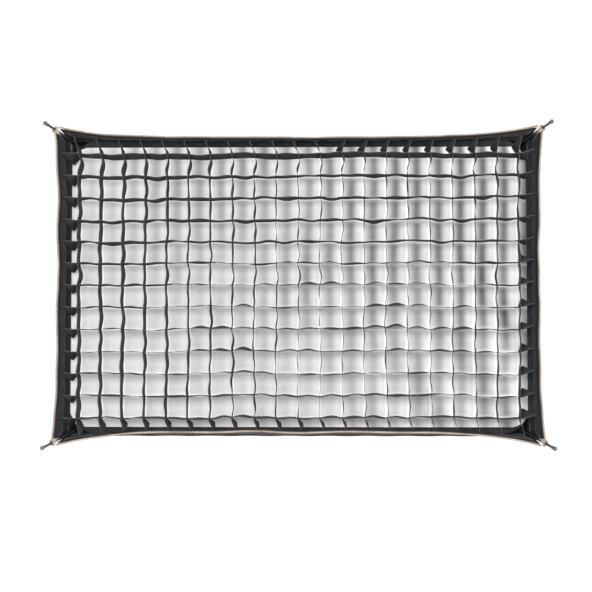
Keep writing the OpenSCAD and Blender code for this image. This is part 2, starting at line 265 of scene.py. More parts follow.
def woven(name, color, lift, roughness, threads=900, sheen=0.3, kind="UV", specular=0.3):
    """Plain-woven cloth: warp and weft bumps, uneven dye and soft creases."""
    mat, shader = make_material(name, color, roughness, specular=specular, sheen=sheen)
    flat = coords(mat, kind, 1.0)
    warp = wave_node(mat, flat, threads / 20, "X", 0.3)
    weave = times(mat, warp, wave_node(mat, flat, threads / 20, "Y" if kind == "UV" else "Z", 0.3))
    broad = noise_node(mat, flat, 9, 5)
    fine = noise_node(mat, flat, 260, 3, 0.7)
    mixed = plus(mat, times(mat, broad, 0.7), times(mat, fine, 0.3))
    light = tuple(min(c * lift, 1) for c in color)
    tone(mat, shader, mixed, tuple(c * 0.72 for c in color), light, 0.3, 0.72)
    rough_range(mat, shader, fine, roughness - 0.08, roughness + 0.08)
    soft = bump(mat, shader, broad, 0.002, 0.35)
    bump(mat, shader, weave, 0.00025, 0.5, soft)
    return mat


def add_pale_edge(mat, width, color):
    """Frayed, heat-cut front edge: a paler line where the cut's V runs below width."""
    shader = mat.node_tree.nodes["Principled BSDF"]
    split = new_node(mat, "ShaderNodeSeparateXYZ", {"Vector": coords(mat, "UV", 1.0)})
    mix = new_node(mat, "ShaderNodeMix", {})
    mix.data_type = "RGBA"
    old = shader.inputs["Base Color"].links[0].from_socket
    edge = math_node(mat, "LESS_THAN", split.outputs["Y"], width)
    fill(mat, mix, {"Factor": edge, "A": old, "B": (*color, 1)})
    fill(mat, shader, {"Base Color": mix.outputs["Result"]})


def silver_lining():
    """Pebbled silver coating inside the shell, painted black over its front stretch as painted shade."""
    mat, shader = make_material("silver_lining", (0.62, 0.63, 0.65), 0.32, metallic=0.85)
    flat = coords(mat, "UV", 1.0)
    pebble = noise_node(mat, flat, 420, 3, 0.6)
    creases = noise_node(mat, flat, 14, 6, 0.6)
    split = new_node(mat, "ShaderNodeSeparateXYZ", {"Vector": coords(mat, "Object", 1.0)})
    # Painted shade: black instead of silver ahead of the shade edge
    unshaded_silver = math_node(mat, "GREATER_THAN", split.outputs["Y"], LINING_SHADE_EDGE)
    silver = times(mat, unshaded_silver, plus(mat, times(mat, creases, 0.3), 0.35))
    tone(mat, shader, silver, (0.012, 0.012, 0.013), (0.72, 0.73, 0.75), 0.0, 0.68)
    fill(mat, shader, {"Metallic": times(mat, unshaded_silver, 0.85)})
    rough_range(mat, shader, pebble, 0.30, 0.48)
    soft = bump(mat, shader, creases, 0.003, 0.5)
    bump(mat, shader, pebble, 0.0004, 0.5, soft)
    return mat


def diffuser_cloth():
    """White cloth behind the grid: paler in a painted highlight along each strip, greyer in painted fold
    shade down the middle of a cell.
    """
    mat, shader = make_material("diffuser_white", (0.85, 0.855, 0.86), 0.85, specular=0.2, sheen=0.15)
    source = new_node(mat, "ShaderNodeTexCoord", {})
    split = new_node(mat, "ShaderNodeSeparateXYZ", {"Vector": source.outputs["Object"]})
    x, z = split.outputs["X"], split.outputs["Z"]
    per_cell = 2 * pi / CELL
    wander = times(mat, noise_node(mat, coords(mat, "Object", (7.0, 1.0, 6.0)), 1.0, 1), 1.7)
    across = times(mat, x, per_cell)
    band_phase = plus(mat, across, minus(mat, wander, 0.55))
    on_upright = math_node(mat, "COSINE", across)
    on_cross = math_node(mat, "COSINE", times(mat, z, per_cell))
    # Painted shade of the folds down the middle of each cell
    mid_cell_shade = minus(mat, 0.5, times(mat, math_node(mat, "COSINE", band_phase), 0.5))
    mid_cell_shade = math_node(mat, "POWER", mid_cell_shade, 1.7)
    # Painted fold shade varies over the cloth, strongest towards the upper right
    patches = noise_node(mat, coords(mat, "Object", (9.0, 1.0, 5.0)), 1.0, 2)
    slope = plus(mat, times(mat, x, 0.75), z)
    depth = clamped(mat, plus(mat, times(mat, patches, 0.75), plus(mat, slope, 0.2)), 0.14, 1.0)
    at_cross = math_node(mat, "POWER", math_node(mat, "MAXIMUM", on_cross, 0.0), 3.0)
    away = minus(mat, 1.0, times(mat, at_cross, 0.45))
    fold = times(mat, times(mat, mid_cell_shade, depth), away)
    # Painted shade of slanting wrinkles low on the right
    slant = plus(mat, times(mat, x, 46.0), times(mat, z, 27.0))
    low_right = clamped(mat, minus(mat, minus(mat, x, z), 0.27), 0.0, 0.22)
    painted_wrinkle_shade = times(mat, math_node(mat, "COSINE", plus(mat, slant, wander)), low_right)
    fold = plus(mat, fold, times(mat, painted_wrinkle_shade, 0.9))
    # Painted highlight: a thin paler line on the cloth beside each strip
    rim = math_node(mat, "MAXIMUM", on_upright, on_cross)
    pale = times(mat, math_node(mat, "POWER", math_node(mat, "MAXIMUM", rim, 0.0), 34.0), 0.22)
    value = plus(mat, minus(mat, 0.72, times(mat, fold, 0.62)), pale)
    stops = [(0.0, (0.1, 0.092, 0.085)), (0.72, (0.79, 0.785, 0.775)), (1.0, (0.98, 0.98, 0.98))]
    fill(mat, shader, {"Base Color": ramp(mat, value, stops)})
    flat = coords(mat, "UV", 1.0)
    threads = times(mat, wave_node(mat, flat, 55, "X", 0.2), wave_node(mat, flat, 55, "Y", 0.2))
    soft = bump(mat, shader, noise_node(mat, flat, 18, 5), 0.002, 0.3)
    bump(mat, shader, threads, 0.0002, 0.4, soft)
    return mat


def rope_fibre():
    """Twisted tan cord: pale yarns, with browner painted shade in the hollows between them."""
    mat, shader = make_material("cord_tan", (0.4, 0.32, 0.24), 0.85, specular=0.2, sheen=0.05)
    along = coords(mat, "UV", (1.0, 1.0, 1.0))
    yarn = wave_node(mat, along, 300, "DIAGONAL", 1.5)
    patch = noise_node(mat, coords(mat, "Object", 1.0), 22, 4, 0.6)
    # Painted shade: the yarn wave darkens the hollows between yarns; the patch noise is random tone
    mixed = plus(mat, times(mat, yarn, 0.35), times(mat, patch, 0.65))
    tone(mat, shader, mixed, (0.085, 0.055, 0.038), (0.4, 0.335, 0.27), 0.36, 0.62)
    bump(mat, shader, yarn, 0.0003, 0.6)
    return mat


def metal(name, color, roughness, grain=(900.0, 60.0, 900.0), wear=0.25, metallic=1.0):
    """Machined or coated metal with fine tool lines, smudges and brighter worn patches."""
    mat, shader = make_material(name, color, roughness, metallic=metallic)
    lines = noise_node(mat, coords(mat, "Object", grain), 1.0, 4, 0.6)
    smudge = noise_node(mat, coords(mat, "Object", 1.0), 38, 5, 0.6)
    dark = tuple(c * (1 - wear) for c in color)
    light = tuple(min(c * (1 + wear) + 0.01, 1) for c in color)
    tone(mat, shader, smudge, dark, light, 0.32, 0.7)
    rough_range(mat, shader, smudge, roughness - 0.08, roughness + 0.12)
    bump(mat, shader, lines, 0.00015, 0.3)
    return mat


def moulded(name, color, roughness, grain=700, coat=0.0):
    """Moulded plastic with a fine spark-eroded grain."""
    mat, shader = make_material(name, color, roughness, coat=coat)
    vector = coords(mat, "Object", 1.0)
    fine = noise_node(mat, vector, grain, 4, 0.6)
    broad = noise_node(mat, vector, 45, 4)
    tone(mat, shader, broad, tuple(c * 0.75 for c in color), tuple(min(c * 1.5 + 0.004, 1) for c in color))
    rough_range(mat, shader, broad, roughness - 0.1, roughness + 0.1)
    bump(mat, shader, fine, 0.0002, 0.5)
    return mat


def ribbed(name, color, pitch, lift=1.8):
    """Ribbed tape or elastic, with its ribs across its length, and painted shade in the grooves between them.
    """
    mat, shader = make_material(name, color, 0.78, specular=0.3, sheen=0.3)
    flat = coords(mat, "UV", 1.0)
    ribs = wave_node(mat, flat, 1 / (pitch * 20), "X", 0.4)
    fuzz = noise_node(mat, flat, 500, 4, 0.7)
    # Painted shade: darker in the grooves between ribs, lighter on the rib crowns, mixed with random fuzz
    # tone
    mixed = plus(mat, times(mat, ribs, 0.5), times(mat, fuzz, 0.5))
    tone(mat, shader, mixed, tuple(c * 0.6 for c in color), tuple(min(c * lift, 1) for c in color))
    bump(mat, shader, ribs, 0.0004, 0.6)
    return mat


SHELL = woven("shell_black", (0.012, 0.012, 0.0135), 2.1, 0.8, 1100, 0.03, specular=0.1)
SILVER = silver_lining()
LIP = woven("lip_charcoal", (0.0185, 0.0178, 0.020), 1.9, 0.8, 800, 0.04, specular=0.15)
STRIP = woven("strip_charcoal", (0.0175, 0.0172, 0.0175), 2.0, 0.85, 700, 0.03, specular=0.12)
add_pale_edge(STRIP, 0.0009, (0.05, 0.05, 0.05))
BAND = woven("band_pile", (0.011, 0.0105, 0.012), 1.8, 0.92, 1500, 0.08, specular=0.1)
BINDING = ribbed("binding_ribbed", (0.012, 0.012, 0.013), 0.0018)
ELASTIC = ribbed("elastic_ribbed", (0.62, 0.61, 0.58), 0.0014, lift=1.2)
DIFFUSER = diffuser_cloth()
INNER = woven("baffle_white", (0.78, 0.78, 0.77), 1.12, 0.85, 900, 0.15)
ROPE = rope_fibre()
ROD = metal("rod_dark", (0.07, 0.07, 0.075), 0.38, (1.0, 1.0, 1.0), 0.4, 0.8)
STEEL = metal("steel_bright", (0.6, 0.6, 0.62), 0.28)
CAST = metal("ring_aluminium", (0.52, 0.53, 0.55), 0.4, (240.0, 900.0, 240.0), 0.18)
BLACK_STEEL = metal("retainer_black", (0.03, 0.03, 0.032), 0.42, (600.0, 600.0, 600.0), 0.5, 0.4)
KNOB = moulded("knob_black", (0.014, 0.014, 0.015), 0.5)
CAP = moulded("cap_dark", (0.05, 0.05, 0.052), 0.4, 900, 0.2)
NYLON = moulded("pad_ivory", (0.74, 0.71, 0.62), 0.45)
THREAD = woven("thread_dark", (0.03, 0.03, 0.031), 1.6, 0.8, 2000, 0.05, "Object")


# ---------------------------------------------------------------- mesh helpers
def add_object(name, data):
    added = bpy.data.objects.new(name, data)
    bpy.context.collection.objects.link(added)
    return added


def new_piece(name, verts, faces, mats, uvs=None, replaces=()):
    mesh = bpy.data.meshes.new(name)
    mesh.from_pydata([tuple(v) for v in verts], [], faces)
    if uvs is not None:
        layer = mesh.uv_layers.new(name="cut")
        for loop in mesh.loops:
            layer.data[loop.index].uv = uvs[loop.vertex_index]
    for mat in mats:
        mesh.materials.append(mat)
    mesh.polygons.foreach_set("use_smooth", [True] * len(mesh.polygons))
    mesh.update()
    piece = add_object(name, mesh)
    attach(piece, BODY)
    if replaces:
        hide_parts(*replaces)
    return piece


class Builder:
    """Collects grids and tubes into one mesh with UVs in metres."""

    def __init__(self):
        self.verts, self.faces, self.uvs = [], [], []

    def grid(self, point, us, vs, size, flip=False, shift=0.0):
        base, nv = len(self.verts), len(vs)
        for u in us:
            for v in vs:
                self.verts.append(point(u, v))
                self.uvs.append((u * size[0] + shift, v * size[1]))
        for i in range(len(us) - 1):
            for j in range(nv - 1):
                a = base + i * nv + j
                quad = (a, a + 1, a + nv + 1, a + nv)
                self.faces.append(quad[::-1] if flip else quad)

    def tube(self, path, radius, sides=8, closed=False):
        """A tube along a list of points, with radius a number or a function of the share of the way."""
        base, n = len(self.verts), len(path)
        side, run = None, 0.0
        for i, p in enumerate(path):
            ahead = path[(i + 1) % n] if closed or i < n - 1 else path[i]
            behind = path[i - 1] if closed or i > 0 else path[i]
            way = (ahead - behind).normalized()
            if side is None:
                side = way.cross(Vector((0.31, 0.17, 0.93))).normalized()
            side = (side - way * side.dot(way)).normalized()
            other = way.cross(side)
            r = radius(i / max(n - 1, 1)) if callable(radius) else radius
            run += (p - path[i - 1]).length if i else 0.0
            for k in range(sides):
                t = 2 * pi * k / sides
                self.verts.append(p + side * (r * cos(t)) + other * (r * sin(t)))
                self.uvs.append((run, k * r * 2 * pi / sides))
        rings = n if closed else n - 1
        for i in range(rings):
            for k in range(sides):
                a = base + i * sides + k
                b = base + i * sides + (k + 1) % sides
                c = base + ((i + 1) % n) * sides + (k + 1) % sides
                d = base + ((i + 1) % n) * sides + k
                self.faces.append((a, b, c, d))
        if not closed:
            self.faces.append(tuple(base + k for k in range(sides))[::-1])
            self.faces.append(tuple(base + (n - 1) * sides + k for k in range(sides)))

    def block(self, centre, along, wide, high):
        """A small rounded block: a stitch, tack or bead."""
        base = len(self.verts)
        for s in (-1, -0.6, 0.6, 1):
            k = 0.45 if abs(s) == 1 else 1.0
            for a, b in ((-1, 0), (0, 1), (1, 0), (0, -1)):
                self.verts.append(centre + along * s + wide * (a * k) + high * (b * k))
                self.uvs.append((s, a))
        for i in range(3):
            for k in range(4):
                a = base + i * 4 + k
                b = base + i * 4 + (k + 1) % 4
                self.faces.append((a, b, b + 4, a + 4))
        self.faces.append((base + 3, base + 2, base + 1, base))
        self.faces.append((base + 12, base + 13, base + 14, base + 15))

    def stitches(self, count, place, lift, above, half):
        """A row of stitches on place(u, lift), with above a lift further out. half holds their half sizes."""
        for i in range(count):
            u = -STITCH_REACH + 2 * STITCH_REACH * (i + 0.5) / count
            a, b = place(u, lift), place(u + STITCH_STEP, lift)
            way, up = (b - a).normalized(), (place(u, above) - a).normalized()
            self.block(a, way * half[0], up.cross(way) * half[1], up * half[2])

    def piece(self, name, mats, slot, replaces=()):
        return new_piece(name, self.verts, self.faces, mats, self.uvs, replaces)


def thicken(piece, thickness, offset=0.0, inside=None):
    mod = piece.modifiers.new("cloth", "SOLIDIFY")
    mod.thickness = thickness
    mod.offset = offset
    if inside is not None:
        mod.material_offset = inside
        mod.material_offset_rim = 0


def steps(n, low=-1.0, high=1.0):
    return [low + (high - low) * i / n for i in range(n + 1)]


def turned(p, quarter):
    """Turns a point of the top side into one of the four sides: top, bottom, left, right."""
    x, y, z = p
    return {
        "top": Vector((x, y, z)),
        "bottom": Vector((x, y, -z)),
        "right": Vector((z, y, x)),
        "left": Vector((-z, y, x)),
    }[quarter]


SIDES = ("top", "bottom", "left", "right")


def axis_of(side):
    return 1 if side in ("top", "bottom") else 0


# ---------------------------------------------------------------- shell
def shell_point(side, u, v, inset=0.0):
    """A point of a shell panel: u across it, v from rear to front."""
    axis = axis_of(side)
    mine, other = (CROWN_ARC, SIDE_ARC) if axis == 1 else (SIDE_ARC, CROWN_ARC)
    y = REAR_Y + (SEAM_Y - REAR_Y) * v
    span = arc_at(other, y)
    height = arc_at(mine, y)
    pull = 0.009 * max(sin(pi * v), 0.0) ** 0.8 * (1 - abs(u) ** 2.2)
    seed = SIDES.index(side) * 5 + 3
    taut = (1 - smooth((abs(u) - 0.8) / 0.2)) * smooth(v / 0.06) * smooth((1 - v) / 0.04)
    crease = 0.0022 * ripple(u * 0.9, v * 0.22, seed, 7.0, seed) * taut
    crease += 0.0009 * ripple(u * 2.2 + v, v * 0.5, seed, 11.0, seed + 2) * taut
    near_seam = sin(pi * min(max((v - 0.78) / 0.22, 0.0), 1.0))
    edge = 0.0022 * abs(sin(u * 21 + seed)) * near_seam * taut
    return turned((u * (span - SHELL_INSET), y, height - SHELL_INSET - pull - crease - edge - inset), side)


def gore_length(points):
    """Length of the bowed middle line of a panel's pattern, as two chords and their bow."""
    chords = sum(math.dist(a, b) for a, b in zip(points, points[1:]))
    whole = math.dist(points[0], points[-1])
    return chords + (chords - whole) / 3


def build_panels():
    for side in SIDES:
        axis = axis_of(side)
        mine, other = (CROWN_POINTS, SIDE_POINTS) if axis == 1 else (SIDE_POINTS, CROWN_POINTS)
        long = gore_length(mine)
        half_widths = [p[1] for p in other]
        wide = 2 * half_widths[2]
        made = Builder()
        flip = side in ("bottom", "right")
        made.grid(lambda u, v: shell_point(side, u, v), steps(72), steps(46, 0, 1), (wide / 2, long), flip)
        panel = made.piece(f"shell_{side}", [SHELL, SILVER], "black_cloth", (f"panel_{side}",))
        thicken(panel, CLOTH, -1, 1)


def corner_line(v, out=0.0):
    """The shell's upper right corner seam."""
    y = REAR_Y + (SEAM_Y - REAR_Y) * v
    return Vector((arc_at(SIDE_ARC, y) + out, y, arc_at(CROWN_ARC, y) + out))


def build_corner_seams():
    """Bound seams: a corded edge of ribbed tape along each corner, with a row of stitches."""
    tape = Builder()
    sewn = Builder()
    for mx in (-1, 1):
        for mz in (-1, 1):
            def place(p):
                return Vector((p.x * mx, p.y, p.z * mz))
            path = [place(corner_line(v, 0.0016)) for v in steps(60, 0, 1)]
            tape.tube(path, 0.0021, 8)
            for i in range(130):
                v = (i + 0.5) / 130
                a, b = place(corner_line(v, 0.0030)), place(corner_line(v + 0.002, 0.0030))
                way = (b - a).normalized()
                out = Vector((mx, 0, mz)).normalized()
                sewn.block(a, way * 0.0011, out.cross(way) * 0.0003, out * 0.0003)
    tape.piece("corner_binding", [BINDING], "binding", ("corner_seams",))
    sewn.piece("corner_stitching", [THREAD], "binding")


def build_seam_piping():
    """Corded seam where the shell meets the lip, with a row of stitches behind it."""
    cord = Builder()
    sewn = Builder()
    for side in SIDES:
        axis = axis_of(side)
        other, mine = LIP_REAR[1 - axis] + 0.0016, LIP_REAR[axis] + 0.0014
        path = [turned((u * other, SEAM_Y + 0.0004, mine + 0.0004 * sin(u * 37)), side)
                for u in steps(90)]
        cord.tube(path, 0.0024, 10)
        row = lambda u, lift, side=side: shell_point(side, u, 0.986, lift)
        sewn.stitches(190 if axis else 122, row, -0.0002, -0.002, (0.0014, 0.0003, 0.0003))
    cord.piece("seam_piping", [BINDING], "binding")
    sewn.piece("seam_stitching", [THREAD], "binding")


# ---------------------------------------------------------------- lip and edging
def lip_height(side, u, y):
    """Inner face of the lip, with the lower edge pulled up a little at its middle."""
    value = lip_at(axis_of(side), u, y)
    f = (SEAM_Y - y) / (SEAM_Y - FRONT_Y)
    middle = 1 - abs(u) ** LIP_FLARE
    if side == "bottom":
        value -= BOTTOM_LIFT * f * middle
    seed = SIDES.index(side) + 11
    slack = 0.0034 * ripple(u * 1.5, y * 2, seed, 3.0, seed) * middle * (0.35 + 0.65 * f)
    pucker = 0.0008 * sin(u * (70 if axis_of(side) else 46)) * sin(pi * f) * middle
    return value + slack + pucker


def lip_point(side, u, v, out=0.0):
    y = SEAM_Y + (FRONT_Y - SEAM_Y) * v
    axis = axis_of(side)
    reach = lip_at(1 - axis, 1, y) + (0.0006 if axis else -0.0002)
    along = u * (reach - CORNER_OPEN[axis] * smooth(v / 0.12))
    billow = 0.002 * sin(pi * v) * (1 - u * u)
    return turned((along, y, lip_height(side, u, y) + billow + 0.0006 + out), side)


def build_lips():
    sewn = Builder()
    for side in SIDES:
        axis = axis_of(side)
        wide = 2 * LIP_FRONT[1 - axis]
        made = Builder()
        flip = side in ("bottom", "right")
        made.grid(lambda u, v: lip_point(side, u, v), steps(160), steps(10, 0, 1), (wide / 2, 0.052), flip)
        lip = made.piece(f"lip_cloth_{side}", [LIP, LIP], "lip_cloth", (f"lip_{side}",))
        thicken(lip, 0.0009, -1, 1)
        for v in (0.1, 0.86):
            for face in (0.0012, -0.0012):
                row = lambda u, lift, side=side, v=v: lip_point(side, u, v, lift)
                sewn.stitches(230 if axis else 146, row, face, face * 2, (0.0012, 0.00028, 0.00025))
    sewn.piece("lip_stitching", [THREAD], "binding")


def edge_path(side, n):
    """Centre line of the edging, on the outer side of the lip's front edge."""
    axis = axis_of(side)
    reach = lip_at(1 - axis, 1, FRONT_Y)
    path = []
    for u in steps(n):
        place = lip_height(side, u, FRONT_Y) + 0.0019
        tuck = 0.0016 * (1 - abs(u) ** LIP_FLARE) if side == "top" else 0.0
        path.append(turned((u * (reach - 0.0065), FRONT_Y - 0.0022 + tuck * 1.6, place), side))
    return path


def resampled(path, step):
    """The same path with points a given step apart."""
    out, left = [path[0].copy()], step
    for a, b in zip(path, path[1:]):
        length = (b - a).length
        while left <= length:
            out.append(a.lerp(b, left / length))
            left += step
        left -= length
    return out


def twisted(made, path, core, strand, pitch, sides, step):
    """A laid rope: three strands that wind round a path."""
    points = resampled(path, step)
    for k in range(3):
        line = []
        for i, p in enumerate(points):
            ahead = points[min(i + 1, len(points) - 1)]
            behind = points[max(i - 1, 0)]
            way = (ahead - behind).normalized()
            side = way.cross(Vector((0, 1, 0))).normalized()
            other = way.cross(side)
            t = 2 * pi * (i * step / pitch + k / 3)
            line.append(p + side * (core * cos(t)) + other * (core * sin(t)))
        made.tube(line, strand, sides)


def build_edging():
    for side in SIDES:
        rope = Builder()
        twisted(rope, edge_path(side, 140), 0.0009, 0.00106, 0.0095, 7, 0.0013)
        rope.piece(f"edging_rope_{side}", [ROPE], "tan_cord", (f"edging_{side}",))
    hem = Builder()
    for side in SIDES:
        path = []
        for u in steps(120):
            reach = lip_at(1 - axis_of(side), 1, FRONT_Y) - CORNER_OPEN[axis_of(side)]
            place = lip_height(side, u, FRONT_Y) - 0.0004
            path.append(turned((u * reach, FRONT_Y - 0.0006, place), side))
        hem.tube(path, 0.0015, 8)
    hem.piece("lip_hem_roll", [LIP], "lip_cloth")


# ---------------------------------------------------------------- diffuser
def clear_of_rod(x, z):
    """Pull a point in near a corner, where the cloth is cut to let the rod past."""
    start = CORNER_REACH - CORNER_SOFT
    total = abs(x) + abs(z)
    if total <= start:
        return x, z
    kept = start + (total - start) * CORNER_SOFT / (CORNER_FULL - start)
    pull = (total - kept) / 2
    return x - math.copysign(pull, x), z - math.copysign(pull, z)


def diffuser_point(u, v):
    """u across, v up, each from -1 to 1: folds at the grid's pitch, creases and a pulled-in rim."""
    half_x = LIP_REAR[0] - 0.0040
    half_z = LIP_REAR[1] - 0.0028
    x, z = u * half_x, v * half_z
    rim = (1 - smooth((abs(u) - 0.9) / 0.1)) * (1 - smooth((abs(v) - 0.88) / 0.12))
    patch = 0.55 + 0.45 * ripple(x, 0, z, 4.5, 5) + 0.35 * x + 0.45 * z
    fold = 0.0028 * max(min(patch, 1.0), 0.15) * (0.5 - 0.5 * cos(2 * pi * x / CELL))
    lean = ripple(x * 0.6, 0, z * 0.6, 5.0, 9)
    drape = 0.0022 * lean + 0.0012 * ripple(x + z * 0.6, 0, z * 0.35, 16.0, 4)
    low_right = smooth((x - 0.12) / 0.2) * smooth((-z - 0.03) / 0.15)
    drape += 0.004 * low_right * max(0.0, sin((x * 0.85 + z * 0.5) * 46 + 1.2)) ** 3
    x, z = clear_of_rod(x, z)
    return Vector((x, SEAM_Y + 0.0022 + (fold + drape + 0.0015) * rim, z))


def build_diffuser():
    made = Builder()
    half = LIP_REAR
    made.grid(diffuser_point, steps(264), steps(90), half)
    cloth = made.piece("diffuser_cloth", [DIFFUSER], "white_diffuser", ("front_diffuser",))
    thicken(cloth, 0.0005, 1)
    band = Builder()
    for side in SIDES:
        axis = axis_of(side)
        reach = LIP_REAR[1 - axis] - 0.0035
        rim = LIP_REAR[axis] - 0.0010
        depth = 0.0135 if axis else 0.0035

        def place(u, v):
            back = 0.0012 - 0.002 * v
            along, height = clear_of_rod(u * (reach - depth * (1 - v) * 0.6), rim - depth * (1 - v))
            return turned((along, SEAM_Y + back, height), side)

        band.grid(place, steps(80), steps(3, 0, 1), (reach, 0.012), side in ("bottom", "right"))
    hem = band.piece("diffuser_rim_band", [LIP], "lip_cloth", ("diffuser_hem",))
    thicken(hem, 0.0008, 0)


# ---------------------------------------------------------------- egg-crate grid
def end_taper(beyond, room):
    """Share of the full depth that a strip still has, this far past its last crossing."""
    return 1 - smooth(beyond / room) * (1 - TAB_DEPTH / STRIP_DEPTH)


def cross_lean(row, x):
    """How far the rear edge of a lying strip rises above its front edge."""
    low = -0.0045 if row == 0 else 0.0016 * max(0.0, 1 - row / 5) * smooth((x + 0.1) / 0.4)
    left = -0.0022 * smooth((-x - 0.12) / 0.3) * max(0.0, 1 - row / 9) if row else 0.0
    middle = smooth((row - 4.5) / 1.5) * smooth((9.8 - row) / 1.5)
    centred = smooth((x + 0.32) / 0.15) * smooth((0.42 - x) / 0.1)
    return low + left + 0.0022 * middle * centred + 0.0008 * smooth((row - 8.5) / 2)


def crossing_shift(column, row):
    """Where the grid's slack leaves a crossing, sideways and up."""
    side = 0.0030 * ripple(column * 0.34, 0, row * 0.30, 1.0, 21)
    rise = 0.0044 * ripple(column * 0.37, 0, row * 0.24, 1.0, 33)
    rise += 0.0014 * ripple(column * 0.9, 0, row * 0.8, 1.0, 40)
    return side, rise


def between(values, place):
    """Smooth run through a list of values."""
    k = min(max(int(place), 0), len(values) - 2)
    return values[k] + (values[k + 1] - values[k]) * smooth(place - k)


def peak(t, at):
    """A soft triangle from 0 to 1 and back."""
    raw = t / at if t < at else (1 - t) / (1 - at)
    return max(raw, 0.0) ** 1.15


def strip_waves(count, spread, bias):
    return [random.uniform(-spread, spread) + bias for _ in range(count)]


def bulge_shape(t):
    """Zero at both crossings and fullest half-way."""
    return max(sin(pi * t), 0.0) ** 1.5


def build_strip(made, along_axis, place, ends, span, index, nodes, waves, flaps, lean):
    """One strip of the grid. along_axis is 0 for a lying strip and 2 for a standing one.
    nodes holds the shift of each crossing, waves the front bulge, rear bulge, S-bend and rear shift."""
    across_axis = 2 - along_axis
    cells = int(round(span / CELL))
    per_cell = 10
    front_wave, rear_wave, bend, rear_shift = waves
    us = [-ends[0] + (ends[0] - span / 2) * i / 12 for i in range(12)]
    us += [-span / 2 + CELL * i / per_cell for i in range(cells * per_cell)]
    us += [span / 2 + (ends[1] - span / 2) * i / 12 for i in range(13)]

    def point(u, v):
        beyond = abs(u) - span / 2
        high = u > 0
        if beyond > 1e-6:
            room = ends[high] - span / 2
            t = beyond / room
            depth = STRIP_DEPTH * end_taper(max(beyond - 0.005, 0), room - 0.005)
            flap = flaps[high]
            settle = 1 - smooth(t)
            node = nodes[-1 if high else 0] * settle
            rest = (lean(math.copysign(span / 2, u)) + rear_shift[-1 if high else 0]) * settle
            front = node + flap[0] * smooth(t)
            rear = node + rest + flap[1] * peak(t, flap[3]) + flap[2] * smooth(t)
            off = front * (1 - v) + rear * v
        else:
            depth = STRIP_DEPTH
            run = min(max((u + span / 2) / CELL, 0.0), cells - 1e-9)
            cell = int(run)
            t = run - cell
            b = bulge_shape(t)
            sway = bend[cell] * sin(2 * pi * t)
            node = between(nodes, run)
            front = node + front_wave[cell] * b + sway
            rear = node + rear_wave[cell] * b + lean(u) + between(rear_shift, run) + sway * 0.6
            curl = 0.2 * rear_wave[cell] * b * sin(pi * v)
            off = front * (1 - v) + rear * v + curl
        p = [0.0, STRIP_FRONT + depth * v, 0.0]
        p[along_axis] = u
        p[across_axis] = place + off
        return Vector(p)

    made.grid(point, us, steps(6, 0, 1), (1.0, STRIP_DEPTH), shift=index * 0.13)


def strip_end(side, across):
    """Where a strip that runs to this side meets the band inside the lip."""
    u = across / LIP_FRONT[1 - axis_of(side)]
    return min(lip_height(side, u, y) for y in (STRIP_FRONT, STRIP_FRONT + TAB_DEPTH)) - BAND_INSET


